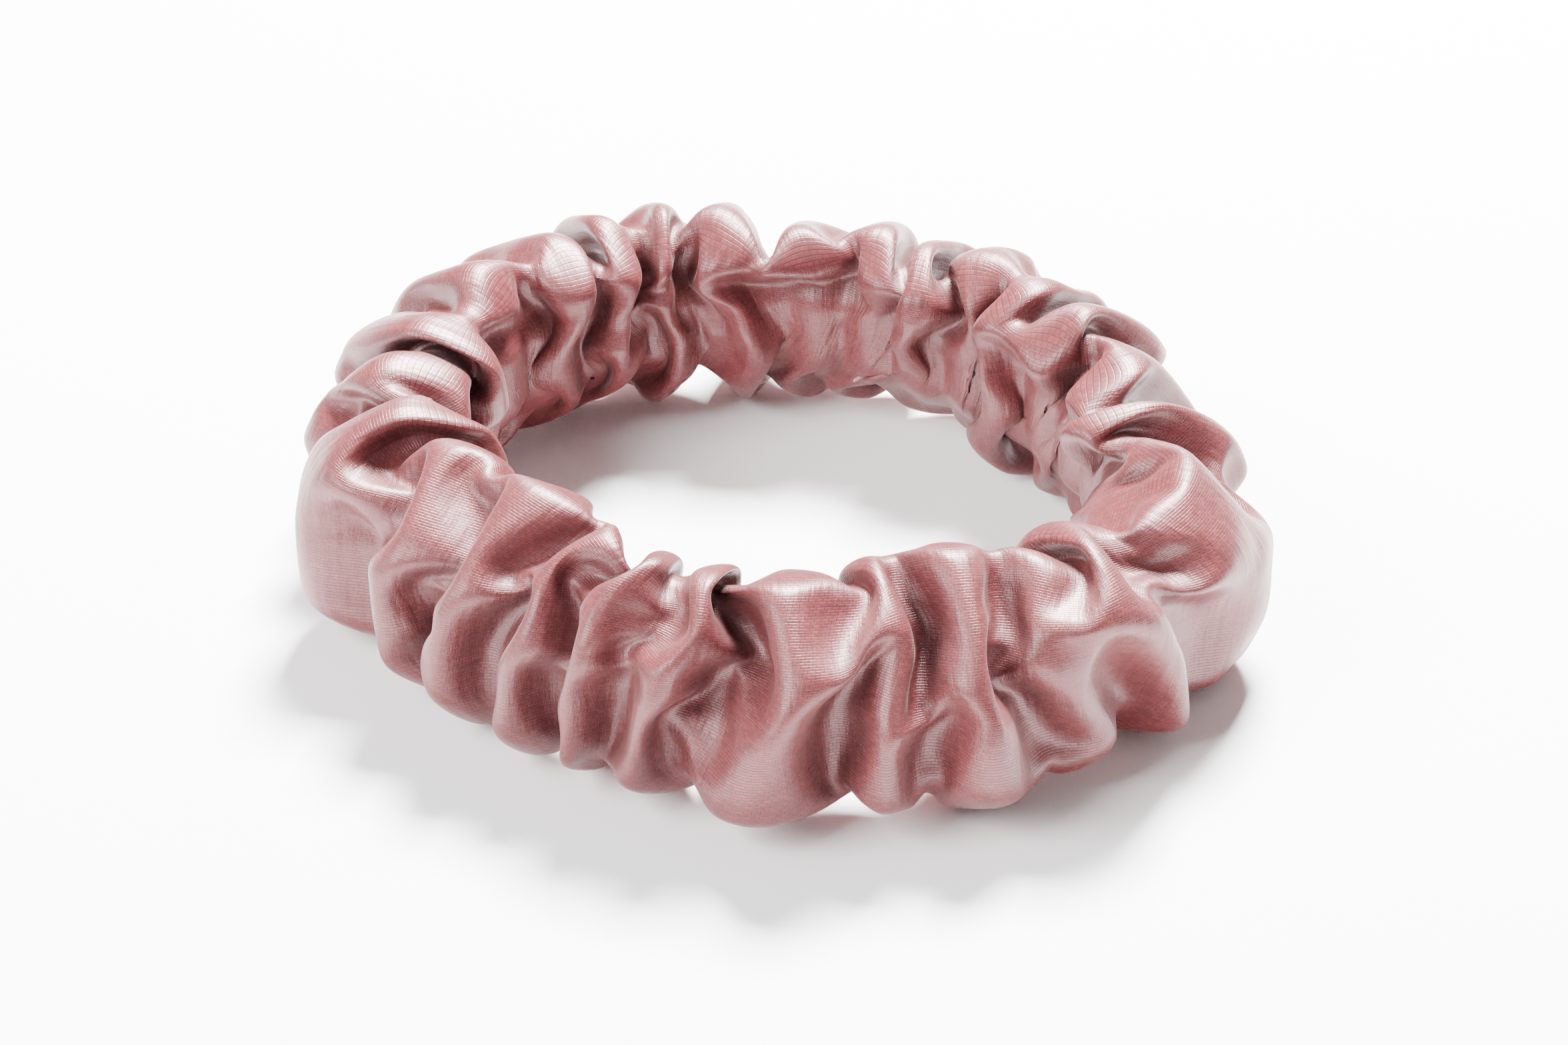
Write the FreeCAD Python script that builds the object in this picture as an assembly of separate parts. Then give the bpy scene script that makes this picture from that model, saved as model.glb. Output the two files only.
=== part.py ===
"""A satin scrunchie: a gathered satin tube round a loop of flat braided elastic.

Frame: +Z up, the scrunchie lies flat, and the origin is under the middle of the ring, on the surface it rests on.
Millimetres. The ring is slightly oval, with its long diagonal towards +X -Y. An angle round the ring is counted
from +X towards +Y. The loop stretches along X, so each strip is held as a left half and a right half.

The satin strip is sewn into a tube by a long seam, and its two ends meet at the closing seam, on the right.
The elastic strip lies inside the tube against its inner wall, and its two ends lap and are sewn, also on the right.
The elastic is a braid round six rubber cords.
"""

import math
import os

import FreeCAD
import Part

Vector = FreeCAD.Vector

# The ring.
TUBE_PATH = 42.8  # from the ring's axis to the middle of a puff
OVAL = 2.6  # how much further out the path runs on the long diagonal, and nearer on the short one
OVAL_ANGLE = -44.0
PUFFS = 26  # gathers round the ring
HALF_GAP = 0.15  # each half stops this far from the plane between them

# The satin tube: a section at the top of a puff, one in the crease between two, and the hollow inside.
PUFF_HALF_WIDTH = 9.9
PUFF_HALF_HEIGHT = 13.6
CREASE_PATH = 41.4
CREASE_HALF_WIDTH = 7.9
CREASE_HALF_HEIGHT = 11.4
HOLLOW_PATH = 40.4
HOLLOW_HALF_WIDTH = 5.6
HOLLOW_HALF_HEIGHT = 9.0
SQUARENESS = 2.5  # 2 is an ellipse; more makes the sides of a section flatter
PUFF_LEAN = 8.0  # degrees that the gathers lean from upright, at the two sides of the ring
PUFF_PROFILE = [(0.0, 0.0), (0.2, 0.7), (0.5, 1.0), (0.8, 0.7)]  # part of the way along a puff, part of its fullness
FOOT_FLAT = 0.35  # how much of each puff is flattened where it rests
SECTION_POINTS = 20
CLOSING_SEAM_CREASE = 4  # the crease, counted from the front, that holds the closing seam

# The elastic strip.
ELASTIC_PATH = 36.1
ELASTIC_WIDTH = 6.4
ELASTIC_THICKNESS = 1.1
LAP_START = 9.0  # degrees; the two ends lie double from here
LAP_END = 31.0
LAP_RAMP_END = 62.0  # by here the outer end has come down beside its other half
LAP_GAP = 0.06
RUBBER_CORDS = 6
RUBBER_PITCH = 1.0
RUBBER_RADIUS = 0.3
RUBBER_CLEARANCE = 0.05

# Sewing thread.
THREAD_RADIUS = 0.23
THREAD_CLEARANCE = 0.06
ZIGZAG_STEPS = 9
ZIGZAG_HALF_WIDTH = 2.2
ZIGZAG_MARGIN = 2.0  # degrees of lap beyond the first and last stitch
LONG_SEAM_ANGLE = 225.0  # place on the hollow's wall: inwards and down
LONG_SEAM_STOP = 1.0  # degrees between the long seam's ends and the closing seam

PATH_STEP = 7.5  # degrees between the points of a smooth path
PIPE_STEP = 4.0  # along a cord or thread, between the sections of its surface
PIPE_POINTS = 12
FRONT, BACK = -90.0, 90.0  # where the right half starts and ends
TUBE_HEIGHT = PUFF_HALF_HEIGHT - FOOT_FLAT  # height of the tube's middle above the surface
PUFF_ANGLE = 360.0 / PUFFS
CLOSING_SEAM = FRONT + CLOSING_SEAM_CREASE * PUFF_ANGLE
RIGHT_SIDE, LEFT_SIDE = 1, -1


def path_point(angle, path, height=0.0):
    """A point that far from the ring's axis, on the oval, and that far above the tube's middle."""
    a = math.radians(angle)
    out = path + OVAL * math.cos(2 * (a - math.radians(OVAL_ANGLE)))
    return Vector(out * math.cos(a), out * math.sin(a), TUBE_HEIGHT + height)


def outward(angle):
    a = math.radians(angle)
    return Vector(math.cos(a), math.sin(a), 0)


def upright(angle, lean):
    """The direction of a section's height: straight up, or leaning along the ring."""
    a = math.radians(angle)
    along = Vector(-math.sin(a), math.cos(a), 0)
    return Vector(0, 0, 1) * math.cos(math.radians(lean)) + along * math.sin(math.radians(lean))


def flatter(turn):
    """The sine or cosine of a turn round an oval with SQUARENESS."""
    return math.copysign(abs(turn) ** (2 / SQUARENESS), turn)


def oval_section(angle, path, half_width, half_height, lean=0.0):
    """Points round a tall oval across the tube, from its inner side."""
    middle = path_point(angle, path)
    side = outward(angle) * half_width
    top = upright(angle, lean) * half_height
    turns = [2 * math.pi * i / SECTION_POINTS for i in range(SECTION_POINTS)]
    return [middle - side * flatter(math.cos(t)) + top * flatter(math.sin(t)) for t in turns]


def skin(sections):
    """The solid inside a smooth surface through closed flat sections."""
    surface = Part.BSplineSurface()
    surface.interpolate([section + section[:1] for section in sections])
    first, last = surface.bounds()[:2]
    ends = [Part.Face(Part.Wire(surface.uIso(u).toShape())) for u in (first, last)]
    shell = Part.makeShell([surface.toShape()] + ends)
    shell.sewShape()
    solid = Part.makeSolid(shell)
    if solid.Volume < 0:
        solid.reverse()
    return solid


def angles(start, end):
    """Evenly spaced angles from start to end, about PATH_STEP apart."""
    steps = max(2, math.ceil((end - start) / PATH_STEP))
    return [start + (end - start) * i / steps for i in range(steps + 1)]


def smooth_edge(points):
    curve = Part.BSplineCurve()
    curve.interpolate(points)
    return curve.toShape()


def pipe(spine, radius):
    """A round cord or thread along an open edge."""
    steps = max(4, round(spine.Length / PIPE_STEP))
    turns = [2 * math.pi * i / PIPE_POINTS for i in range(PIPE_POINTS)]
    sections = []
    for i in range(steps + 1):
        at = spine.FirstParameter + (spine.LastParameter - spine.FirstParameter) * i / steps
        middle, along = spine.valueAt(at), spine.tangentAt(at)
        side = along.cross(Vector(0, 0, 1)).normalize()
        up = side.cross(along)
        sections.append([middle + (side * math.cos(t) + up * math.sin(t)) * radius for t in turns])
    return skin(sections)


def lean_at(angle):
    """The gathers lean most at the two sides and stand upright at the plane between the halves."""
    return PUFF_LEAN * math.cos(math.radians(angle))


def satin_section(angle, fullness):
    """A section of the gathered tube: in a crease at no fullness, at the top of a puff at full."""
    path = CREASE_PATH + (TUBE_PATH - CREASE_PATH) * fullness
    half_width = CREASE_HALF_WIDTH + (PUFF_HALF_WIDTH - CREASE_HALF_WIDTH) * fullness
    half_height = CREASE_HALF_HEIGHT + (PUFF_HALF_HEIGHT - CREASE_HALF_HEIGHT) * fullness
    return oval_section(angle, path, half_width, half_height, lean_at(angle))


def satin(first_crease, last_crease):
    """The gathered tube from one crease to another: a puff between each two, hollow inside, flat underneath.

    The surface runs on past both creases and is cut back, so its ends are as smooth as its middle.
    """
    start, end = FRONT + first_crease * PUFF_ANGLE, FRONT + last_crease * PUFF_ANGLE
    sections = []
    for puff in range(first_crease - 1, last_crease + 1):
        for part_way, fullness in PUFF_PROFILE:
            sections.append(satin_section(FRONT + (puff + part_way) * PUFF_ANGLE, fullness))
    hollow = [
        oval_section(a, HOLLOW_PATH, HOLLOW_HALF_WIDTH, HOLLOW_HALF_HEIGHT)
        for a in angles(start - PATH_STEP, end + PATH_STEP)
    ]
    size = 200.0
    below = Part.makeBox(size, size, size, Vector(-size / 2, -size / 2, -size))
    before_start = Part.makeBox(size, size, size, Vector(-size / 2, -size, -size / 2))
    before_start.rotate(Vector(), Vector(0, 0, 1), start)
    after_end = Part.makeBox(size, size, size, Vector(-size / 2, 0, -size / 2))
    after_end.rotate(Vector(), Vector(0, 0, 1), end)
    shape = skin(sections).cut(skin(hollow))
    for waste in (below, before_start, after_end):
        shape = shape.cut(waste)
    return shape


def lap_lift(angle):
    """How far the tail end of the elastic is lifted off the path, to lie on the lead end where they lap."""
    t = min(1.0, max(0.0, (LAP_RAMP_END - angle) / (LAP_RAMP_END - LAP_END)))
    return (ELASTIC_THICKNESS + LAP_GAP) * t * t * (3 - 2 * t)


def no_lift(angle):
    return 0.0


def rubber(start, end, lift, radius):
    """The rubber cords side by side, as separate solids."""
    heights = [(i - (RUBBER_CORDS - 1) / 2) * RUBBER_PITCH for i in range(RUBBER_CORDS)]
    return [
        pipe(smooth_edge([path_point(a, ELASTIC_PATH + lift(a), z) for a in angles(start, end)]), radius)
        for z in heights
    ]


def braid(start, end, lift):
    """The braided strip, on edge, with a way through it for each rubber cord."""
    half = ELASTIC_THICKNESS / 2
    inner, outer = [
        [path_point(a, ELASTIC_PATH + lift(a) + off, -ELASTIC_WIDTH / 2) for a in angles(start, end)]
        for off in (-half, half)
    ]
    ends = [Part.makeLine(inner[0], outer[0]), Part.makeLine(inner[-1], outer[-1])]
    outline = Part.Wire(Part.__sortEdges__([smooth_edge(inner), smooth_edge(outer)] + ends))
    strip = Part.Face(outline).extrude(Vector(0, 0, ELASTIC_WIDTH))
    for way in rubber(start - 1, end + 1, lift, RUBBER_RADIUS + RUBBER_CLEARANCE):
        strip = strip.cut(way)
    return strip


def thread_chain(points):
    """A thread through the points: straight stitches with round ends."""
    chain = Part.makeSphere(THREAD_RADIUS, points[0])
    for a, b in zip(points, points[1:]):
        stitch = Part.makeCylinder(THREAD_RADIUS, (b - a).Length, a, b - a)
        chain = chain.fuse([stitch, Part.makeSphere(THREAD_RADIUS, b)])
    return chain


def zigzag(path):
    """One face of the zigzag that joins the lapped ends."""
    first, last = LAP_START + ZIGZAG_MARGIN, LAP_END - ZIGZAG_MARGIN
    points = []
    for i in range(ZIGZAG_STEPS + 1):
        angle = first + (last - first) * i / ZIGZAG_STEPS
        points.append(path_point(angle, path, ZIGZAG_HALF_WIDTH * (-1) ** i))
    return thread_chain(points)


def join_stitching():
    """Needle thread on the tail end's outer face, and bobbin thread on the lead end's inner face."""
    off_face = ELASTIC_THICKNESS / 2 + THREAD_RADIUS + THREAD_CLEARANCE
    outer = zigzag(ELASTIC_PATH + lap_lift(LAP_START) + off_face)
    inner = zigzag(ELASTIC_PATH - off_face)
    return Part.makeCompound([outer, inner])


def closing_stitching():
    """The thread that runs once round the tube, just inside its wall, where the satin's two ends meet."""
    inset = THREAD_RADIUS + THREAD_CLEARANCE
    half_width, half_height = HOLLOW_HALF_WIDTH - inset, HOLLOW_HALF_HEIGHT - inset
    points = oval_section(CLOSING_SEAM, HOLLOW_PATH, half_width, half_height)
    curve = Part.BSplineCurve()
    curve.interpolate(points, PeriodicFlag=True)
    spine = curve.toShape()
    start = spine.FirstParameter
    profile = Part.Wire(Part.Circle(spine.valueAt(start), spine.tangentAt(start), THREAD_RADIUS).toShape())
    return Part.Wire(spine).makePipeShell([profile], True, True)


def long_seam(start, end):
    """The thread of the long seam, just inside the hollow's wall, low on the inner side."""
    inset = THREAD_RADIUS + THREAD_CLEARANCE
    place = math.radians(LONG_SEAM_ANGLE)
    path = HOLLOW_PATH + (HOLLOW_HALF_WIDTH - inset) * flatter(math.cos(place))
    height = (HOLLOW_HALF_HEIGHT - inset) * flatter(math.sin(place))
    return pipe(smooth_edge([path_point(a, path, height) for a in angles(start, end)]), THREAD_RADIUS)


def elastic_piece(part, start, end, lift):
    """One stretch of the elastic strip: its braid and each of its rubber cords, by node name."""
    nodes = {f"elastic_{part}": braid(start, end, lift)}
    for number, cord in enumerate(rubber(start, end, lift, RUBBER_RADIUS), 1):
        nodes[f"rubber_cord_{number}_{part}"] = cord
    return nodes


def build():
    """Every node's shape by name, and the side of the plane between the halves that it lies on."""
    half_puffs = PUFFS // 2
    left_end = BACK + 180.0
    left = {
        "satin_left": satin(half_puffs, PUFFS),
        "long_seam_stitching_left": long_seam(BACK, left_end),
        **elastic_piece("left", BACK, left_end, no_lift),
    }
    right = {
        "satin_lead_end": satin(0, CLOSING_SEAM_CREASE),
        "satin_tail_end": satin(CLOSING_SEAM_CREASE, half_puffs),
        "closing_seam_stitching": closing_stitching(),
        "long_seam_stitching_lead_end": long_seam(FRONT, CLOSING_SEAM - LONG_SEAM_STOP),
        "long_seam_stitching_tail_end": long_seam(CLOSING_SEAM + LONG_SEAM_STOP, BACK),
        **elastic_piece("lead_end", FRONT, LAP_END, no_lift),
        **elastic_piece("tail_end", LAP_START, BACK, lap_lift),
        "elastic_join_stitching": join_stitching(),
    }
    return [(LEFT_SIDE, left), (RIGHT_SIDE, right)]


def main():
    os.makedirs("parts", exist_ok=True)
    for side, shapes in build():
        for name, shape in shapes.items():
            shape.translate(Vector(side * HALF_GAP, 0, 0))
            shape.exportStep(f"parts/{name}.step")
            box = shape.BoundBox
            print(
                f"{name}: {len(shape.Solids)} solids, valid {shape.isValid()}, volume {shape.Volume:.1f} mm3,",
                f"x {box.XMin:.1f} to {box.XMax:.1f}, y {box.YMin:.1f} to {box.YMax:.1f},",
                f"z {box.ZMin:.2f} to {box.ZMax:.2f}",
            )


main()
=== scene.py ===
"""The looks of the satin scrunchie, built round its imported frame.

The cover is made as the real one is: a flat satin tube, much longer than the elastic, is gathered
onto it by a cloth simulation, fold by fold. Every strip and thread is one piece that stretches
between the two halves of the ring.
"""

import math

import bpy
import numpy as np
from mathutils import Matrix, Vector


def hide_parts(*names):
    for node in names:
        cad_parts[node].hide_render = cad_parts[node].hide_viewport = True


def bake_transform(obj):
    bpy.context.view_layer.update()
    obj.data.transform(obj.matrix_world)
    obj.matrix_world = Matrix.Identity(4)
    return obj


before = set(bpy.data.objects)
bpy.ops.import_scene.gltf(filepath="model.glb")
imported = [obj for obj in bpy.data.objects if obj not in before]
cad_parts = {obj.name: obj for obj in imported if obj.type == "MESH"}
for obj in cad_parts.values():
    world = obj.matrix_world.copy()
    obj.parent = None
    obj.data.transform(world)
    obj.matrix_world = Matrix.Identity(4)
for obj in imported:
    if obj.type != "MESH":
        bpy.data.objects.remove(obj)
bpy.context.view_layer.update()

MM = 0.001

# ---------------------------------------------------------------- the ring

OVAL, OVAL_ANGLE = 2.6 * MM, math.radians(-44)
ELASTIC_PATH = 36.1 * MM
ELASTIC_WIDTH, ELASTIC_THICKNESS = 6.4 * MM, 1.1 * MM
ELASTIC_HEIGHT = 13.25 * MM
LAP_START, LAP_END, LAP_RAMP_END = 9.0, 31.0, 62.0  # degrees from +X towards +Y
LAP_GAP = 0.06 * MM
RUBBER_CORDS, RUBBER_PITCH, RUBBER_RADIUS = 6, 1.0 * MM, 0.3 * MM
CHANNEL_CLEARANCE = 0.03 * MM  # between the rubber cords and the braid round them
BRAID_PLAITS, BRAID_RIB, BRAID_RELIEF = 4, 1.3 * MM, 0.1 * MM
BRAID_SIDE_POWER, BRAID_EDGE_POWER = 0.35, 0.75  # how square the braid's section is
THREAD_RADIUS = 0.23 * MM
THREAD_CLEARANCE = 0.1 * MM  # between a seam's thread and the satin
STITCH_PITCH = 2.4 * MM
STITCH_START, STITCH_END = 0.08, 0.92  # of a stitch's pitch
STITCH_TIP = 0.55  # the thread's thickness where it goes into the cloth, over its own
ZIGZAG_STEPS, ZIGZAG_HALF_WIDTH, ZIGZAG_MARGIN = 9, 2.2 * MM, 2.0
ZIGZAG_START, ZIGZAG_END = 0.03, 0.97  # of a step from edge to edge
ZIGZAG_CLEARANCE = 0.06 * MM  # between the zigzag's thread and the elastic's face
LONG_SEAM_ROW = 6  # of the simulated mesh, counted down from the middle of the inner wall
UP = np.array([0, 0, 1.0])


def oval(angle):
    """How far the ring's oval stands out at an angle in radians."""
    return OVAL * np.cos(2 * (angle - OVAL_ANGLE))


def around(radius, angle, height):
    """Points at a radius and an angle round the ring's axis, and at a height."""
    return np.stack([radius * np.cos(angle), radius * np.sin(angle), height + 0 * angle], -1)


def mesh_piece(name, points, faces):
    """An object in the scene with a new mesh of these points and faces."""
    mesh = bpy.data.meshes.new(name)
    mesh.from_pydata(np.reshape(points, (-1, 3)).tolist(), [], faces)
    piece = bpy.data.objects.new(name, mesh)
    bpy.context.scene.collection.objects.link(piece)
    return piece


def square_piece(name, side):
    """A flat square at height 0, that far out each way from the ring's axis."""
    corners = [(-side, -side, 0), (side, -side, 0), (side, side, 0), (-side, side, 0)]
    return mesh_piece(name, corners, [(0, 1, 2, 3)])


def smooth(piece):
    """The piece shaded smooth."""
    piece.data.polygons.foreach_set("use_smooth", [True] * len(piece.data.polygons))


def wall_faces(columns, rows, closed):
    """Faces of a grid that closes on itself along its columns, and round its rows if it is closed."""
    return [
        (
            i * rows + k,
            (i + 1) % columns * rows + k,
            (i + 1) % columns * rows + (k + 1) % rows,
            i * rows + (k + 1) % rows,
        )
        for i in range(columns)
        for k in range(rows if closed else rows - 1)
    ]


# ---------------------------------------------------------------- the satin, gathered by simulation

FIRST_CREASE = 178.0
# Each fold of the satin, up to the crease that ends it: the crease's angle in degrees, the satin's
# width between the creases, how far its top is drawn along the ring, and how full it starts, in mm.
FOLDS = [
    (200, 27, 0, 4), (215, 21, 0, 4), (228, 19, 1, 4), (239, 17, 1, 4), (248, 15, 1, 4),
    (259, 17, 3, 4), (279, 27, 3, 5), (288, 14, 1, 3), (300, 20, -1, 5), (309, 13, -3, 2),
    (325.4, 22, -5, 4), (357, 34, -1, 3), (369, 18, 0, 4), (380, 16, -2, 4), (391, 18, 2, 5),
    (402, 15, 0, 4), (414, 18, 0, 4), (426, 17, 1, 4), (437, 16, 0, 4), (448, 15, 0, 4),
    (463, 20, 2, 4), (474, 16, 0, 4), (486, 18, -2, 4), (498, 17, 0, 4), (510, 18, 0, 4),
    (524, 20, 0, 4), (538, 20, 0, 4),
]
CLOSING_SEAM_FOLD = 11  # the closing seam lies in the crease before this fold
SATIN_EASE = 0.82  # the strip's length over the folds' widths added up
TUBE_ROUND = 73 * MM  # the satin's declared width, once it is sewn into a tube
SATIN_THICKNESS = 0.25 * MM
COLUMNS, ROWS = 260, 42  # the simulated mesh, along the strip and round the tube
FOLD_SEED = 3
FLAT_GAP = 4 * MM  # between the flat tube's two walls
START_HEIGHT = 20 * MM
START_ROUGHNESS = 0.1 * MM  # so that no fold starts perfectly even
INNER_PUFF = 0.6  # how full a fold starts on the inner wall, over the outer
SIM_SCALE = 20.0  # the simulation runs at 50 mm to the unit, where cloth settings behave
GATHER_FRAMES, PRESS_FRAMES, SETTLE_FRAMES = 34, 16, 10
SATIN_BENDING = 18
PUFF_PRESSURE = 0.32
HELD_HEIGHT = 3 * MM  # the elastic holds the satin this far each side of its middle
CLEAR_OF_ELASTIC = 0.5 * MM
# The hand that arranges the folds: a wall that closes in, with a ridge along each crease.
HAND_START = 115 * MM
HAND_REACH = 17 * MM  # from the elastic's path to the wall
HAND_TOP, HAND_BOTTOM, HAND_ROWS = 34 * MM, -2 * MM, 19
RIDGE_WIDTH = 1.8 * MM
RIDGE_DEPTH = 1.5  # over the fold's fullness
HAND_CURL = 0.1  # how far the wall closes in over the top and bottom, as a share of its reach
SURFACE_SIDE = 0.3  # half the width of the surface that the satin settles on
# Then the tube is pressed to its own size.
OUTER_REACH = 52.5 * MM  # from the ring's axis to its outside, leaving out how oval it is
TUBE_TOP = 27 * MM
REACH_PERCENTILE, TOP_PERCENTILE = 99, 99.5  # of the points, that the two sizes above are set by
INNER_FOLD = 1.8 * MM  # how far a fold stands in from the elastic, at the least
INNER_SLOPE = 1.1  # how fast the inner wall may lean out, past the elastic's edges
EDGE_CLEARANCE = 1 * MM  # past each edge of the elastic, before the wall may lean out
INNER_ROWS = ROWS // 5  # of the mesh, each side of the middle of the inner wall
SMOOTHING, SMOOTHING_PASSES = 0.35, 2
FOOT_HEIGHT = 0.15 * MM  # of the tube's lowest points over the surface, before it is rounded off

WIDTHS = np.array([fold[1] for fold in FOLDS], float)
CREASES = np.concatenate([[0], np.cumsum(WIDTHS)]) / WIDTHS.sum()  # along the strip, 0 to 1
CREASE_ANGLES = np.radians([FIRST_CREASE] + [fold[0] for fold in FOLDS])
FOLD_COUNT = np.arange(len(FOLDS) + 1)
STRIP_LENGTH = WIDTHS.sum() * MM * SATIN_EASE


def flat_tube_section(count):
    """Points round a flat tube on edge, as (outward, up), from the middle of its inner wall."""
    wall = TUBE_ROUND / 2 - FLAT_GAP
    half, bend, radius = wall / 2, math.pi * FLAT_GAP / 2, FLAT_GAP / 2
    points = []
    for i in range(count):
        d = 2 * (wall + bend) * i / count
        if d < half:
            points.append((-radius, -d))
        elif d < half + bend:
            turn = (d - half) / radius
            points.append((-radius * math.cos(turn), -half - radius * math.sin(turn)))
        elif d < half + bend + wall:
            points.append((radius, d - bend - wall))
        elif d < half + 2 * bend + wall:
            turn = (d - half - bend - wall) / radius
            points.append((radius * math.cos(turn), half + radius * math.sin(turn)))
        else:
            points.append((-radius, 2 * (wall + bend) - d))
    return np.array(points)


def flat_tube():
    """The tube before it is gathered: a ring as long as the strip, with its folds begun.

    The begun folds, and the bends at its two edges, come on top of the strip's length and width. So
    its surface is about a quarter larger than the flat size that is declared for the cover.
    """
    section = flat_tube_section(ROWS)
    place = np.arange(COLUMNS) / COLUMNS
    angle = math.radians(FIRST_CREASE) + 2 * math.pi * place
    slants = np.array([fold[2] for fold in FOLDS]) * MM
    fullness = np.array([fold[3] for fold in FOLDS]) * MM
    middles = (CREASES[1:] + CREASES[:-1]) / 2
    grid = np.zeros((COLUMNS, ROWS, 3))
    for row, (out, up) in enumerate(section):
        slant = np.interp(place, middles, slants, period=1.0) * up / (TUBE_ROUND / 4)
        through = np.interp((place - slant / STRIP_LENGTH) % 1.0, CREASES, FOLD_COUNT)
        full = fullness[np.minimum(through.astype(int), len(FOLDS) - 1)]
        puff = (0.5 - 0.5 * np.cos(2 * math.pi * through)) * full
        radius = STRIP_LENGTH / (2 * math.pi) + out + puff * (1.0 if out > 0 else -INNER_PUFF)
        grid[:, row] = around(radius, angle, up + START_HEIGHT)
    return grid + np.random.default_rng(FOLD_SEED).normal(0, START_ROUGHNESS, grid.shape), section


def tube_mesh(name, grid):
    """A mesh of a grid that closes on itself both ways, and its object."""
    return mesh_piece(name, grid, wall_faces(*grid.shape[:2], closed=True))


def gathered_on_elastic(start, section):
    """The grid with the points that the elastic holds drawn in at each crease, and those points."""
    drawn = start.copy()
    drawn[..., 2] += ELASTIC_HEIGHT - START_HEIGHT
    held_rows = [k for k, (out, up) in enumerate(section) if out < 0 and abs(up) <= HELD_HEIGHT]
    held = []
    for place, angle in zip(CREASES[:-1], CREASE_ANGLES):
        column = round(place * COLUMNS) % COLUMNS
        radius = ELASTIC_PATH + oval(angle) - ELASTIC_THICKNESS / 2 - CLEAR_OF_ELASTIC
        for row in held_rows:
            drawn[column, row, :2] = radius * math.cos(angle), radius * math.sin(angle)
            held.append(column * ROWS + row)
    return drawn, held


def hand_reach(angle, height):
    """How far from the ring's axis the hand's wall closes in, at an angle and a height."""
    rise = height / ELASTIC_HEIGHT - 1
    ridge = np.zeros_like(angle)
    for number, crease in enumerate(CREASE_ANGLES[1:]):
        fold, after = FOLDS[number], FOLDS[(number + 1) % len(FOLDS)]
        slant = (fold[2] + after[2]) / 2 * MM
        depth = min(fold[3], after[3]) * RIDGE_DEPTH * MM
        off = (angle - crease + math.pi) % (2 * math.pi) - math.pi
        off = off * (ELASTIC_PATH + HAND_REACH) - slant * rise
        ridge = np.maximum(ridge, depth * np.exp(-(off / RIDGE_WIDTH) ** 2))
    return ELASTIC_PATH + oval(angle) + HAND_REACH * (1 - HAND_CURL * np.abs(rise) ** 3) - ridge


def hand_wall():
    """The hand's wall, which cloth can't pass: it starts outside the satin and closes in on it."""
    degrees, heights = np.arange(0, 360, 1.0), np.linspace(HAND_TOP, HAND_BOTTOM, HAND_ROWS)
    angle, height = np.meshgrid(np.radians(degrees), heights, indexing="ij")
    start = around(HAND_START, angle, height) * SIM_SCALE
    end = around(hand_reach(angle, height), angle, height) * SIM_SCALE
    hand = mesh_piece("hand", start, wall_faces(*angle.shape, closed=False))
    moves_to(hand, end, GATHER_FRAMES + PRESS_FRAMES)
    contact(hand, 2)
    return hand


def moves_to(piece, places, last):
    """Shape keys that take the piece's points straight to their new places by the last frame."""
    piece.shape_key_add(name="Basis")
    key = piece.shape_key_add(name="moved")
    key.data.foreach_set("co", places.reshape(-1).astype(np.float32))
    for value, number in ((0, 1), (1, last)):
        key.value = value
        key.keyframe_insert("value", frame=number)


def contact(piece, friction):
    """Cloth can't pass the piece."""
    piece.modifiers.new("contact", "COLLISION")
    piece.collision.thickness_outer = 0.01
    piece.collision.cloth_friction = friction


def simulate_gathering():
    """The satin drawn in onto the elastic, its folds arranged, and settled on the surface below."""
    start, section = flat_tube()
    drawn, held = gathered_on_elastic(start, section)
    tube = tube_mesh("gathering", start * SIM_SCALE)
    tube.vertex_groups.new(name="held").add(held, 1.0, "REPLACE")
    moves_to(tube, drawn * SIM_SCALE, GATHER_FRAMES)

    cloth = tube.modifiers.new("cloth", "CLOTH")
    settings = cloth.settings
    settings.vertex_group_mass = "held"
    settings.quality = 6
    settings.mass = 0.15
    settings.tension_stiffness = settings.compression_stiffness = 60
    settings.shear_stiffness = 5
    settings.bending_model = "ANGULAR"
    settings.bending_stiffness = SATIN_BENDING
    settings.tension_damping = settings.compression_damping = settings.shear_damping = 5
    settings.bending_damping = 0.5
    settings.air_damping = 1
    settings.use_pressure = True
    settings.uniform_pressure_force = PUFF_PRESSURE
    settings.effector_weights.gravity = 0.3
    touch = cloth.collision_settings
    touch.distance_min = 0.01
    touch.collision_quality = 3
    touch.use_self_collision = True
    touch.self_distance_min = 0.014
    touch.self_friction = 5
    last = GATHER_FRAMES + PRESS_FRAMES + SETTLE_FRAMES
    cloth.point_cache.frame_start, cloth.point_cache.frame_end = 1, last

    surface = square_piece("table", SURFACE_SIDE * SIM_SCALE)
    contact(surface, 5)
    hand = hand_wall()

    for number in range(1, last + 1):
        bpy.context.scene.frame_set(number)
    settled = tube.evaluated_get(bpy.context.evaluated_depsgraph_get())
    mesh = settled.to_mesh()
    points = np.zeros(COLUMNS * ROWS * 3, np.float32)
    mesh.vertices.foreach_get("co", points)
    settled.to_mesh_clear()
    for spent in (tube, surface, hand):
        bpy.data.objects.remove(spent)
    bpy.context.scene.frame_set(1)
    return points.reshape(COLUMNS, ROWS, 3).astype(float) / SIM_SCALE


def smoothed(grid, amount, times):
    """The grid with each point drawn towards its four neighbours."""
    for _ in range(times):
        between = sum(np.roll(grid, step, axis) for axis in (0, 1) for step in (-1, 1)) / 4
        grid = grid + (between - grid) * amount
    return grid


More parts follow.
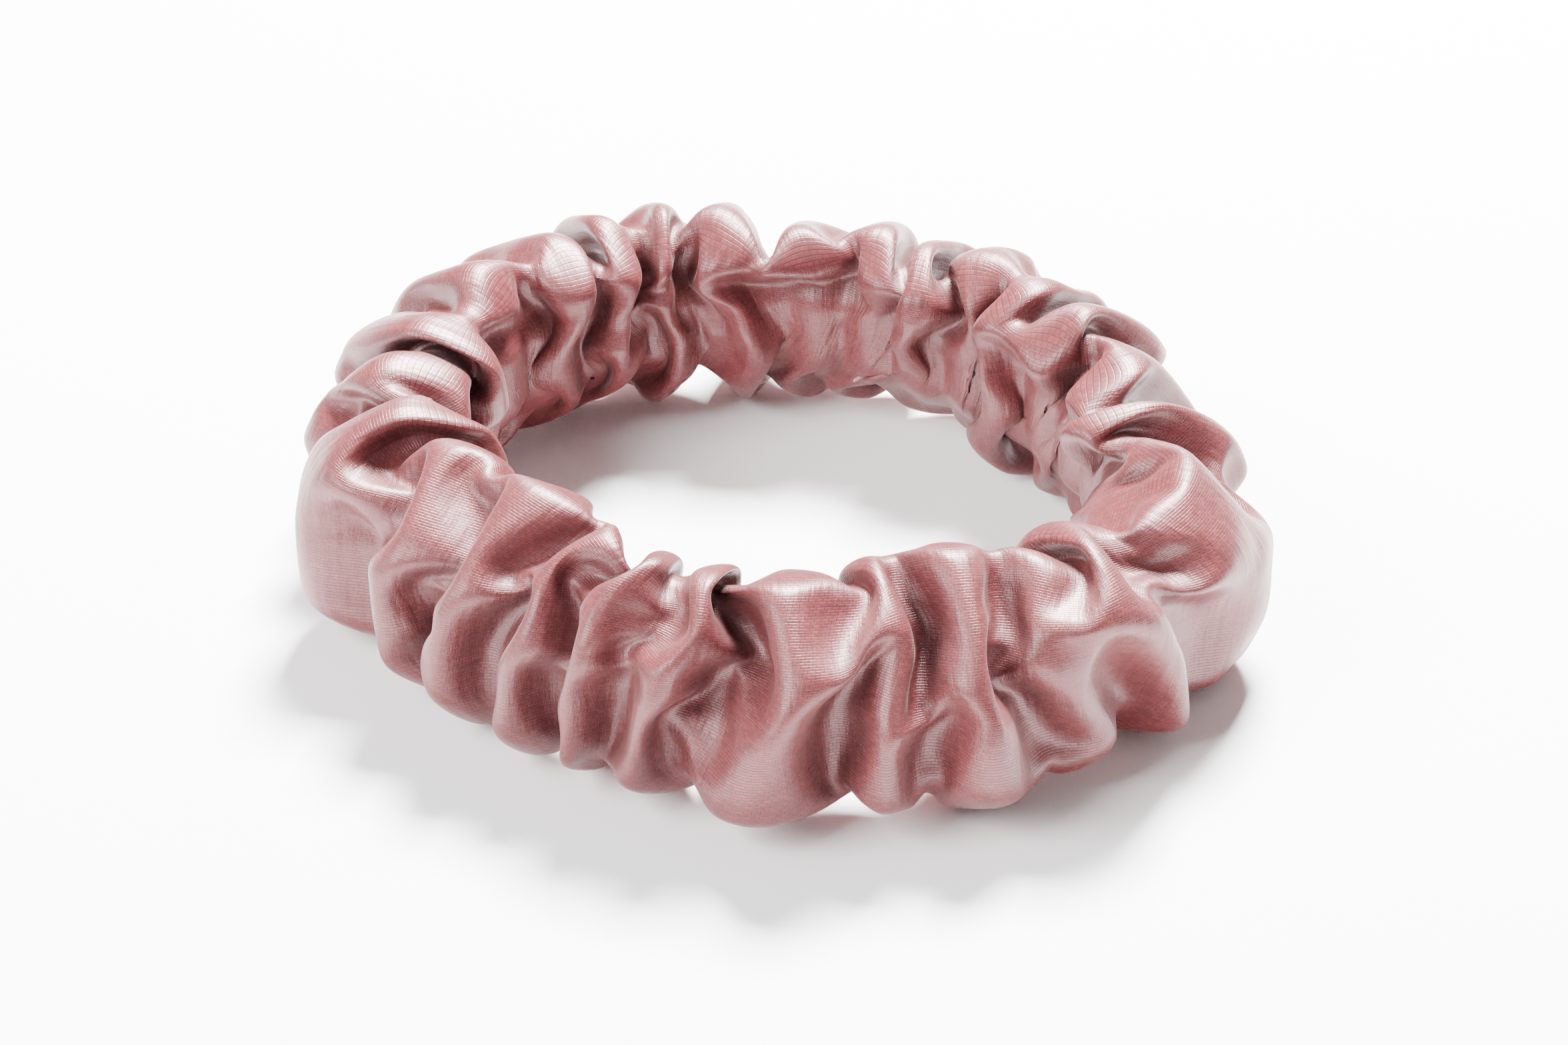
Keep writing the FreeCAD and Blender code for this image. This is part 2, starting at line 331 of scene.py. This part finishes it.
def pressed(grid):
    """The gathered tube pressed to its own size, clear of the elastic, and down on the surface."""
    angle = np.arctan2(grid[..., 1], grid[..., 0])
    elastic = ELASTIC_PATH + oval(angle)
    reach = np.hypot(grid[..., 0], grid[..., 1]) - elastic
    far = np.percentile(reach, REACH_PERCENTILE)
    reach = np.where(reach > 0, reach * (OUTER_REACH - ELASTIC_PATH) / far, reach)
    height = grid[..., 2] - grid[..., 2].min()
    over = height - ELASTIC_HEIGHT
    high = np.percentile(over, TOP_PERCENTILE)
    lowered = ELASTIC_HEIGHT + over * (TUBE_TOP - ELASTIC_HEIGHT) / high
    height = np.where(over > 0, lowered, height)

    first = CREASE_ANGLES[0]
    through = np.interp(np.mod(angle - first, 2 * math.pi) + first, CREASE_ANGLES, FOLD_COUNT)
    fold = 0.5 - 0.5 * np.cos(2 * math.pi * through)
    past_edge = np.abs(height - ELASTIC_HEIGHT) - ELASTIC_WIDTH / 2 - EDGE_CLEARANCE
    lean = np.maximum(past_edge, 0) * INNER_SLOPE
    limit = -(ELASTIC_THICKNESS / 2 + CLEAR_OF_ELASTIC) - INNER_FOLD * np.sqrt(fold) + lean
    inner_wall = np.zeros(grid.shape[:2], bool)
    inner_wall[:, :INNER_ROWS] = inner_wall[:, -INNER_ROWS:] = True
    reach = np.where(inner_wall, np.minimum(reach, limit), reach)
    return around(elastic + reach, angle, height)


def cover_piece(grid):
    """The satin tube, rounded off and with its own thickness. Its UV is the strip, in millimetres."""
    columns, rows = grid.shape[:2]
    cover = tube_mesh("satin_cover", grid)
    layout = cover.data.uv_layers.new(name="strip")
    along, across = STRIP_LENGTH / MM / columns, TUBE_ROUND / MM / rows
    places = [
        (step_i * along, step_k * across)
        for i in range(columns)
        for k in range(rows)
        for step_i, step_k in ((i, k), (i + 1, k), (i + 1, k + 1), (i, k + 1))
    ]
    layout.data.foreach_set("uv", np.array(places, np.float32).reshape(-1))
    rounder = cover.modifiers.new("rounder", "SUBSURF")
    rounder.levels = rounder.render_levels = 2
    rounder.subdivision_type = "CATMULL_CLARK"
    wall = cover.modifiers.new("wall", "SOLIDIFY")
    wall.thickness = SATIN_THICKNESS
    wall.offset = -1
    apply_modifiers(cover)
    return cover


def apply_modifiers(piece):
    """The piece's mesh becomes its evaluated one, and its modifiers go."""
    evaluated = piece.evaluated_get(bpy.context.evaluated_depsgraph_get())
    mesh = bpy.data.meshes.new_from_object(evaluated)
    piece.modifiers.clear()
    spent = piece.data
    piece.data = mesh
    bpy.data.meshes.remove(spent)
    mesh.name = piece.name
    smooth(piece)


# ---------------------------------------------------------------- the elastic and the threads inside


def lap_lift(angle):
    """How far the elastic's tail end is lifted off its path, to lie on the lead end at the lap."""
    t = np.clip((LAP_RAMP_END - angle) / (LAP_RAMP_END - LAP_END), 0, 1)
    return (ELASTIC_THICKNESS + LAP_GAP) * t * t * (3 - 2 * t)


def strip_frame(angles):
    """Along the elastic, from its tail end to its lead end: its middle line, and the way outwards."""
    a = np.radians(angles)
    radius = ELASTIC_PATH + oval(a) + lap_lift(angles)
    return around(radius, a, ELASTIC_HEIGHT), around(1.0, a, 0.0)


def loft(name, rings):
    """A capped tube through rings of points, sections by points by xyz."""
    sections, points = rings.shape[:2]
    faces = [
        (a + k, a + (k + 1) % points, a + points + (k + 1) % points, a + points + k)
        for a in range(0, (sections - 1) * points, points)
        for k in range(points)
    ]
    faces.append(tuple(range(points))[::-1])
    faces.append(tuple((sections - 1) * points + k for k in range(points)))
    piece = mesh_piece(name, rings, faces)
    smooth(piece)
    return piece


def length_along(path):
    """How far along a path of points each of them is."""
    step = np.linalg.norm(np.diff(path, axis=0), axis=1)
    return np.concatenate([[0], np.cumsum(step)])


def braid_piece():
    """The elastic's braided sleeve: a flat strip on edge, ribbed, with a channel for its cords."""
    middle, out = strip_frame(np.linspace(LAP_START, 360 + LAP_END, 720))
    along = length_along(middle)
    count = 48
    turn = 2 * np.pi * np.arange(count) / count
    side = np.sign(np.cos(turn)) * np.abs(np.cos(turn)) ** BRAID_SIDE_POWER
    up = np.sign(np.sin(turn)) * np.abs(np.sin(turn)) ** BRAID_EDGE_POWER
    plait = 2 * np.abs((up * BRAID_PLAITS / 2 + 0.25) % 1.0 - 0.5)
    rib = np.abs(np.sin(np.pi * (along[:, None] / BRAID_RIB + plait[None, :] * 0.8)))
    half = ELASTIC_THICKNESS / 2 - BRAID_RELIEF + BRAID_RELIEF * rib

    def section(half_thickness, half_width):
        outwards = out[:, None] * (side * half_thickness)[..., None]
        return middle[:, None] + outwards + UP * (up * half_width)[None, :, None]

    channel_half = RUBBER_RADIUS + CHANNEL_CLEARANCE
    channel_width = (RUBBER_CORDS - 1) / 2 * RUBBER_PITCH + channel_half
    inner = section(np.full((1, 1), channel_half), channel_width)
    return sleeve("elastic_braid", section(half, ELASTIC_WIDTH / 2), inner)


def sleeve(name, outer, inner):
    """A tube with a wall, from rings of outer and inner points."""
    sections, points = outer.shape[:2]
    base = sections * points
    faces = []
    for k in range(points):
        after = (k + 1) % points
        for i in range(sections - 1):
            a, b = i * points, (i + 1) * points
            faces.append((a + k, a + after, b + after, b + k))
            faces.append((base + a + k, base + b + k, base + b + after, base + a + after))
        last = (sections - 1) * points
        faces.append((k, base + k, base + after, after))
        faces.append((last + k, last + after, base + last + after, base + last + k))
    piece = mesh_piece(name, np.concatenate([outer, inner]), faces)
    smooth(piece)
    return piece


def cord_piece(number):
    """One rubber cord, from end to end of the elastic."""
    middle, out = strip_frame(np.linspace(LAP_START, 360 + LAP_END, 360))
    height = (number - (RUBBER_CORDS + 1) / 2) * RUBBER_PITCH
    count = 12
    turn = 2 * np.pi * np.arange(count) / count
    round_it = out[:, None] * np.cos(turn)[None, :, None] + UP * np.sin(turn)[None, :, None]
    return loft(f"rubber_cord_{number}", middle[:, None] + UP * height + RUBBER_RADIUS * round_it)


def stitch_row(name, runs):
    """Thread along each run of points: a tube that narrows where it goes into the cloth."""
    count = 8
    points, faces = [], []
    for run in runs:
        base = len(points)
        way = np.gradient(run, axis=0)
        for i, (middle, along) in enumerate(zip(run, way)):
            across = Vector(along).to_track_quat("Z", "Y").to_matrix()
            end = i in (0, len(run) - 1)
            radius = THREAD_RADIUS * (STITCH_TIP if end else 1.0)
            for k in range(count):
                turn = 2 * math.pi * k / count
                spoke = across @ Vector((math.cos(turn), math.sin(turn), 0)) * radius
                points.append(tuple(Vector(middle) + spoke))
        for i in range(len(run) - 1):
            a, b = base + i * count, base + (i + 1) * count
            for k in range(count):
                after = (k + 1) % count
                faces.append((a + k, a + after, b + after, b + k))
        faces.append(tuple(range(base, base + count))[::-1])
        faces.append(tuple(range(base + (len(run) - 1) * count, base + len(run) * count)))
    piece = mesh_piece(name, points, faces)
    smooth(piece)
    return piece


def stitches_along(path):
    """A path of points cut into stitches, each a run of points, with the cloth showing between them."""
    along = length_along(path)
    count = round(along[-1] / STITCH_PITCH)
    runs = []
    for i in range(count):
        at = (i + np.linspace(STITCH_START, STITCH_END, 6)) * along[-1] / count
        runs.append(np.stack([np.interp(at, along, path[:, axis]) for axis in range(3)], 1))
    return runs


def inside_wall(grid):
    """The grid moved in from the satin, so that a thread on it lies against the wall's inner face."""
    along = np.roll(grid, -1, 0) - np.roll(grid, 1, 0)
    across = np.roll(grid, -1, 1) - np.roll(grid, 1, 1)
    normal = np.cross(along, across)
    normal /= np.linalg.norm(normal, axis=2, keepdims=True) + 1e-12
    return grid - normal * (SATIN_THICKNESS + THREAD_RADIUS + THREAD_CLEARANCE)


def zigzag(lift):
    """Stitches from edge to edge of the lap, on a face that far out from the elastic's path."""
    first, last = LAP_START + ZIGZAG_MARGIN, LAP_END - ZIGZAG_MARGIN
    angles = np.radians(np.linspace(first, last, ZIGZAG_STEPS + 1))
    radius = ELASTIC_PATH + oval(angles) + lift
    height = ELASTIC_HEIGHT + ZIGZAG_HALF_WIDTH * (-1.0) ** np.arange(ZIGZAG_STEPS + 1)
    corners = around(radius, angles, height)
    steps = np.linspace(ZIGZAG_START, ZIGZAG_END, 6)[:, None]
    return [a + (b - a) * steps for a, b in zip(corners, corners[1:])]


# ---------------------------------------------------------------- materials

SATIN_COLOR = (0.12, 0.025, 0.0265)
PAINTED_CREASE_SHADE_REACH = 9 * MM  # painted shade: folds that stand nearer than this darken each other's colour, as shade in the creases
FLOAT_LENGTH, FLOAT_PITCH, FLOAT_STEP = 0.8, 0.34, 0.32  # mm, of the threads that float on the satin


class Nodes:
    """A new node material, with short ways to add and join nodes."""

    def __init__(self, name, color, roughness):
        self.material = bpy.data.materials.new(name)
        self.material.use_nodes = True
        self.material.diffuse_color = (*color, 1)
        self.tree = self.material.node_tree
        self.shader = self.tree.nodes["Principled BSDF"]
        self.shader.inputs["Base Color"].default_value = (*color, 1)
        self.shader.inputs["Roughness"].default_value = roughness

    def add(self, kind, **sockets):
        """A node with its named sockets set to a value or joined to another node's output."""
        node = self.tree.nodes.new(kind)
        for name, value in sockets.items():
            self.put(node.inputs[name.replace("_", " ")], value)
        return node

    def put(self, socket, value):
        """A socket set to a value, or joined to another node's output."""
        if isinstance(value, bpy.types.NodeSocket):
            self.tree.links.new(value, socket)
        else:
            socket.default_value = value

    def math(self, operation, *values):
        """The result of a sum on values or other nodes' outputs."""
        node = self.tree.nodes.new("ShaderNodeMath")
        node.operation = operation
        for socket, value in zip(node.inputs, values):
            self.put(socket, value)
        return node.outputs[0]

    def scaled(self, vector, scale):
        """A place multiplied by a scale in x, y and z."""
        node = self.add("ShaderNodeMapping", Vector=vector)
        node.inputs["Scale"].default_value = scale
        return node.outputs[0]

    def noise(self, vector, scale, detail=2.0):
        """Noise from 0 to 1."""
        return self.add("ShaderNodeTexNoise", Vector=vector, Scale=scale, Detail=detail).outputs["Fac"]

    def ramp(self, value, stops):
        """A colour that runs through the stops, each a value and its colour."""
        node = self.add("ShaderNodeValToRGB", Fac=value)
        ramp = node.color_ramp
        while len(ramp.elements) < len(stops):
            ramp.elements.new(0.5)
        for element, (place, color) in zip(ramp.elements, stops):
            element.position = place
            element.color = (*color, 1)
        return node.outputs["Color"]

    def multiplied(self, first, second):
        """One colour times another."""
        node = self.tree.nodes.new("ShaderNodeMix")
        node.data_type = "RGBA"
        node.blend_type = "MULTIPLY"
        for socket, value in ((0, 1.0), (6, first), (7, second)):  # the factor and the two colours
            self.put(node.inputs[socket], value)
        return node.outputs[2]

    def bump(self, height, distance, strength=1.0, normal=None):
        """A bumped normal, on top of another one if it is given."""
        node = self.add("ShaderNodeBump", Height=height, Distance=distance, Strength=strength)
        if normal is not None:
            self.put(node.inputs["Normal"], normal)
        return node.outputs["Normal"]

    def set(self, **sockets):
        """The shader's named sockets set to a value or joined to another node's output."""
        for name, value in sockets.items():
            self.put(self.shader.inputs[name.replace("_", " ")], value)


def satin_material():
    """Polyester satin: long floats along the strip in staggered rows, with a soft sheen, and shade
    painted into its creases.
    """
    n = Nodes("satin", SATIN_COLOR, 0.38)
    layout = n.tree.nodes.new("ShaderNodeUVMap")
    layout.uv_map = "strip"
    strip = layout.outputs["UV"]  # millimetres along the strip, and round the tube
    # Each row of floats starts two fifths of a float away from the row before it.
    place = n.add("ShaderNodeSeparateXYZ", Vector=strip)
    row = n.math("FLOOR", n.math("DIVIDE", place.outputs["Y"], FLOAT_PITCH))
    along = n.math("MULTIPLY_ADD", row, FLOAT_STEP, place.outputs["X"])
    rows = n.add("ShaderNodeCombineXYZ", X=along, Y=place.outputs["Y"])
    weave = n.add("ShaderNodeTexBrick", Vector=rows.outputs[0], Scale=1.0)
    weave.offset = 0
    for name, value in (
        ("Color1", (0.76, 0.75, 0.79, 1)),
        ("Color2", (1.16, 1.14, 1.14, 1)),
        ("Mortar", (0.46, 0.38, 0.41, 1)),
        ("Mortar Size", 0.055),
        ("Mortar Smooth", 0.9),
        ("Brick Width", FLOAT_LENGTH),
        ("Row Height", FLOAT_PITCH),
    ):
        weave.inputs[name].default_value = value
    cloud = n.noise(n.scaled(strip, (0.05, 0.05, 0.05)), 1.0)
    darker, lighter = (tuple(c * share for c in SATIN_COLOR) for share in (0.93, 1.06))
    shade = n.ramp(cloud, [(0.3, darker), (0.7, lighter)])
    # Painted shade: ambient occlusion darkens the satin's colour where folds stand close, as shade
    # falls in the creases.
    crease_occlusion = n.add("ShaderNodeAmbientOcclusion", Distance=PAINTED_CREASE_SHADE_REACH)
    crease_occlusion.only_local = True
    crease_occlusion.samples = 8
    depth = n.ramp(crease_occlusion.outputs["AO"], [(0.1, (0.16, 0.12, 0.12)), (0.8, (1.0, 1.0, 1.0))])
    color = n.multiplied(n.multiplied(shade, weave.outputs["Color"]), depth)
    crush = n.noise(n.scaled(strip, (0.9, 0.14, 1.0)), 1.0, 3.0)
    slub = n.noise(n.scaled(strip, (0.25, 2.6, 1.0)), 1.0, 2.0)
    creased = n.bump(crush, 0.22 * MM, 0.8)
    slubbed = n.bump(slub, 0.03 * MM, 0.6, creased)
    woven = n.bump(n.math("SUBTRACT", 1.0, weave.outputs["Fac"]), 0.02 * MM, 0.6, slubbed)
    rough = n.math("MULTIPLY_ADD", slub, 0.12, 0.34)
    grain = n.tree.nodes.new("ShaderNodeTangent")
    grain.direction_type = "UV_MAP"
    grain.uv_map = "strip"
    n.set(Base_Color=color, Roughness=rough, Normal=woven, Tangent=grain.outputs[0])
    n.set(Anisotropic=0.5, Specular_IOR_Level=0.75, Sheen_Weight=0.12, Sheen_Roughness=0.35)
    n.shader.inputs["Sheen Tint"].default_value = (0.95, 0.62, 0.62, 1)
    n.shader.inputs["Specular Tint"].default_value = (1.0, 0.7, 0.72, 1)
    return n.material


def braid_material():
    """White polyester yarn, with a little variation from plait to plait."""
    n = Nodes("braid", (0.78, 0.75, 0.7), 0.75)
    place = n.tree.nodes.new("ShaderNodeTexCoord").outputs["Object"]
    yarn = n.noise(n.scaled(place, (900, 900, 4200)), 1.0)
    n.set(Base_Color=n.ramp(yarn, [(0.3, (0.62, 0.59, 0.54)), (0.7, (0.84, 0.82, 0.78))]))
    n.set(Normal=n.bump(yarn, 0.05 * MM, 0.6), Sheen_Weight=0.3, Sheen_Roughness=0.4)
    return n.material


def rubber_material():
    """Natural rubber, dusted with talc."""
    n = Nodes("rubber", (0.62, 0.5, 0.33), 0.6)
    place = n.tree.nodes.new("ShaderNodeTexCoord").outputs["Object"]
    dust = n.noise(place, 1500.0)
    n.set(Base_Color=n.ramp(dust, [(0.35, (0.55, 0.43, 0.27)), (0.75, (0.74, 0.65, 0.5))]))
    n.set(Roughness=n.math("MULTIPLY_ADD", dust, 0.3, 0.45))
    return n.material


def thread_material():
    """Spun thread in the satin's colour, a little darker, with its twist."""
    n = Nodes("thread", (0.3, 0.13, 0.135), 0.7)
    place = n.tree.nodes.new("ShaderNodeTexCoord").outputs["Object"]
    twist = n.add("ShaderNodeTexWave", Vector=place, Scale=900.0, Distortion=1.5).outputs["Fac"]
    n.set(Base_Color=n.ramp(twist, [(0.2, (0.2, 0.08, 0.085)), (0.8, (0.36, 0.17, 0.175))]))
    n.set(Normal=n.bump(twist, 0.04 * MM, 0.7), Sheen_Weight=0.25)
    return n.material


def table_material():
    """A plain matt white surface."""
    n = Nodes("table", (0.97, 0.965, 0.96), 0.85)
    place = n.tree.nodes.new("ShaderNodeTexCoord").outputs["Object"]
    grain = n.noise(place, 300.0)
    n.set(Normal=n.bump(grain, 0.02 * MM, 0.2))
    return n.material


# ---------------------------------------------------------------- the pieces

PARTS = ("left", "lead_end", "tail_end")


def finished(piece, material, nodes):
    """The piece in its material, in place of its CAD nodes, stretching between the ring's halves."""
    piece.data.materials.clear()
    piece.data.materials.append(material)
    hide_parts(*nodes)
    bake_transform(piece)


gathered = simulate_gathering()
gathered = smoothed(pressed(gathered), SMOOTHING, SMOOTHING_PASSES)
gathered[..., 2] -= gathered[..., 2].min() - FOOT_HEIGHT
cover = cover_piece(gathered)
finished(cover, satin_material(), [f"satin_{part}" for part in PARTS])

braid = braid_piece()
finished(braid, braid_material(), [f"elastic_{part}" for part in PARTS])
rubber = rubber_material()
for number in range(1, RUBBER_CORDS + 1):
    finished(cord_piece(number), rubber, [f"rubber_cord_{number}_{part}" for part in PARTS])

thread = thread_material()
thread_lines = inside_wall(gathered)
seam_column = round(CREASES[CLOSING_SEAM_FOLD] * COLUMNS)
long_line = np.roll(thread_lines[:, LONG_SEAM_ROW], -seam_column - 1, 0)
long_seam = stitch_row("long_seam_stitching", stitches_along(long_line))
finished(long_seam, thread, [f"long_seam_stitching_{part}" for part in PARTS])
round_line = thread_lines[seam_column, list(range(ROWS)) + [0]]
closing_seam = stitch_row("closing_seam_stitching", stitches_along(round_line))
finished(closing_seam, thread, ["closing_seam_stitching"])
off_face = ELASTIC_THICKNESS / 2 + THREAD_RADIUS + ZIGZAG_CLEARANCE
zigzags = zigzag(off_face + ELASTIC_THICKNESS + LAP_GAP) + zigzag(-off_face)
elastic_join = stitch_row("elastic_join_stitching", zigzags)
finished(elastic_join, thread, ["elastic_join_stitching"])

# ---------------------------------------------------------------- the table, the light and the camera

TABLE_SIDE = 3.0
RING_MIDDLE = 13.15 * MM  # over the table
CAMERA_ELEVATION = math.radians(32.5)
CAMERA_DISTANCE = 0.641
CAMERA_DROP, CAMERA_SIDE = 3.7 * MM, 0.9 * MM  # it aims this far under the middle, and to the right
FRAME_WIDTH = 0.170  # what the frame takes in across, at the ring's middle
SENSOR_WIDTH = 36  # mm

table_top = square_piece("table_top", TABLE_SIDE)
table_top.data.materials.append(table_material())

world = bpy.data.worlds.new("studio")
world.use_nodes = True
world.node_tree.nodes["Background"].inputs["Color"].default_value = (1.0, 0.985, 0.97, 1)
world.node_tree.nodes["Background"].inputs["Strength"].default_value = 0.5
bpy.context.scene.world = world


def soft_light(name, place, size, power):
    """A square soft box that faces the ring."""
    light = bpy.data.lights.new(name, "AREA")
    light.size = size
    light.energy = power
    lamp = bpy.data.objects.new(name, light)
    lamp.location = place
    lamp.rotation_mode = "QUATERNION"
    lamp.rotation_quaternion = (Vector((0, 0, 0.01)) - Vector(place)).to_track_quat("-Z", "Y")
    bpy.context.scene.collection.objects.link(lamp)


soft_light("key", (0.12, 0.42, 0.62), 0.24, 80)
soft_light("fill", (-0.6, -0.4, 0.55), 0.5, 22)

camera_data = bpy.data.cameras.new("camera")
camera = bpy.data.objects.new("camera", camera_data)
bpy.context.scene.collection.objects.link(camera)
back = Vector((0, -math.cos(CAMERA_ELEVATION), math.sin(CAMERA_ELEVATION)))
up = Vector((0, math.sin(CAMERA_ELEVATION), math.cos(CAMERA_ELEVATION)))
camera.location = Vector((CAMERA_SIDE, 0, RING_MIDDLE)) - up * CAMERA_DROP + back * CAMERA_DISTANCE
camera.rotation_mode = "QUATERNION"
camera.rotation_quaternion = (-back).to_track_quat("-Z", "Y")
camera_data.sensor_width = SENSOR_WIDTH
camera_data.lens = SENSOR_WIDTH * CAMERA_DISTANCE / FRAME_WIDTH
camera_data.clip_start, camera_data.clip_end = 0.05, 20
bpy.context.scene.camera = camera
